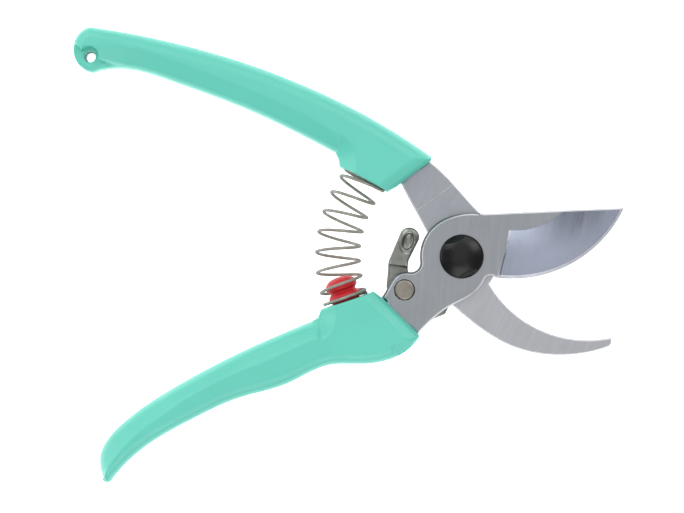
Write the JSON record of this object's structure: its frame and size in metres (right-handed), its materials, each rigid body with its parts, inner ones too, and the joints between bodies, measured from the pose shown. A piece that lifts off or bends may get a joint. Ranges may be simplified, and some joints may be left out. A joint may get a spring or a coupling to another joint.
{
  "type": "floral snips",
  "caption": "Bypass snips for flowers: a curved cutting blade and a hook on a pivot bolt, moulded handles, a coil return spring and a thumb latch.",
  "frame": {"origin": "on the pivot axis, in the plane of the flat rear end of the pivot bolt and nut, on which the snips lie", "axes": "X towards the blade tips, Y towards the upper handle, Z along the pivot axis towards the front face"},
  "size_m": [0.1702, 0.1404, 0.016],
  "materials": {
    "steel_plate": "satin brushed hard steel",
    "blade_steel": "fine ground hard steel",
    "handle_teal": "turquoise moulded plastic, satin gloss",
    "cushion_red": "red soft plastic",
    "black_bolt": "black oxide, semi-gloss",
    "latch_steel": "stamped steel, darker",
    "rivet_steel": "turned steel",
    "spring_wire": "stainless spring wire",
    "nut_steel": "turned steel"
  },
  "bodies": {
    "cutting_arm": {"cutting_blade": "blade_steel", "lower_handle": "handle_teal", "spring_cushion": "cushion_red", "pivot_bolt": "black_bolt", "pivot_bush": "nut_steel", "thrust_washer": "nut_steel", "lock_washer": "nut_steel", "pivot_nut": "nut_steel", "latch_washer": "rivet_steel", "latch_rivet": "rivet_steel", "return_spring": "spring_wire"},
    "hook_arm": {"hook_blade": "steel_plate", "upper_handle": "handle_teal"},
    "latch": {"latch_lever": "latch_steel"}
  },
  "joints": [
    {"name": "handle_pivot", "type": "hinge", "parent": "cutting_arm", "child": "hook_arm", "pos_m": [0, 0, 0.008], "axis": [0, 0, 1], "range_deg": [0, 46], "stiffness_Nm_per_rad": 0.5, "springref_deg": -5.73, "deforming": ["return_spring"]},
    {"name": "latch_pivot", "type": "hinge", "parent": "cutting_arm", "child": "latch", "pos_m": [-0.0176, -0.0103, 0.007], "axis": [0, 0, 1], "range_deg": [0, 20]}
  ]
}
